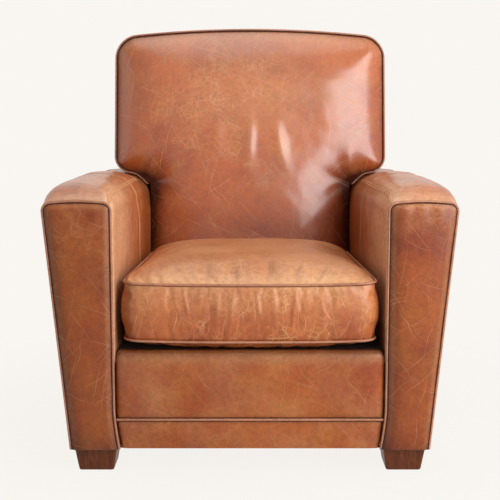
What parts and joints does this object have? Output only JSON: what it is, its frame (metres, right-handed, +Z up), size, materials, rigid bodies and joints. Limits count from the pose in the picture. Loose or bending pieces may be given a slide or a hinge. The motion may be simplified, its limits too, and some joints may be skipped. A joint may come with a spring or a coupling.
{
  "type": "worn club chair",
  "caption": "Worn brown leather club chair with padded piped arms, a T-shaped back, a loose boxed cushion and tapered block feet.",
  "frame": {"origin": "on the floor, under the middle of the chair's box", "axes": "+Z up, the chair faces -Y, +X is to the right of someone who looks at its front"},
  "size_m": [0.8476, 0.9086, 0.9596],
  "materials": {
    "leather": "worn aniline leather, semi-gloss, cracked",
    "piping_leather": "dark reddish leather piping",
    "stained_beech": "dark stained and waxed",
    "frame_hardwood": "sawn, unfinished",
    "spring_steel": "drawn wire",
    "jute_webbing": "woven jute",
    "lining_cloth": "black lining cloth",
    "zip_tape": "brown zip tape"
  },
  "bodies": {
    "root": {"arm_cover_left": "leather", "arm_cover_right": "leather", "arm_facing_left": "leather", "arm_facing_right": "leather", "back_pad": "leather", "outside_back": "leather", "rail_cover": "leather", "rail_band": "leather", "seat_cushion": "leather", "arm_welt_left": "piping_leather", "arm_welt_right": "piping_leather", "back_welt": "piping_leather", "rail_welt": "piping_leather", "cushion_welt_top": "piping_leather", "cushion_welt_bottom": "piping_leather", "cushion_zip": "zip_tape", "seat_deck": "lining_cloth", "dust_cover": "lining_cloth", "foot_front_left": "stained_beech", "foot_front_right": "stained_beech", "foot_rear_left": "stained_beech", "foot_rear_right": "stained_beech", "foot_bolt_front_left": "spring_steel", "foot_bolt_front_right": "spring_steel", "foot_bolt_rear_left": "spring_steel", "foot_bolt_rear_right": "spring_steel", "seat_spring_1": "spring_steel", "seat_spring_2": "spring_steel", "seat_spring_3": "spring_steel", "seat_spring_4": "spring_steel", "seat_spring_5": "spring_steel", "back_strap_left": "jute_webbing", "back_strap_middle": "jute_webbing", "back_strap_right": "jute_webbing", "front_seat_rail": "frame_hardwood", "rear_seat_rail": "frame_hardwood", "side_seat_rail_left": "frame_hardwood", "side_seat_rail_right": "frame_hardwood", "front_post_left": "frame_hardwood", "front_post_right": "frame_hardwood", "rear_arm_post_left": "frame_hardwood", "rear_arm_post_right": "frame_hardwood", "arm_rail_left": "frame_hardwood", "arm_rail_right": "frame_hardwood", "back_post_left": "frame_hardwood", "back_post_right": "frame_hardwood", "back_top_rail": "frame_hardwood", "back_lower_rail": "frame_hardwood", "wing_stile_left": "frame_hardwood", "wing_stile_right": "frame_hardwood", "corner_block_front_left": "frame_hardwood", "corner_block_front_right": "frame_hardwood", "corner_block_rear_left": "frame_hardwood", "corner_block_rear_right": "frame_hardwood"}
  },
  "joints": []
}
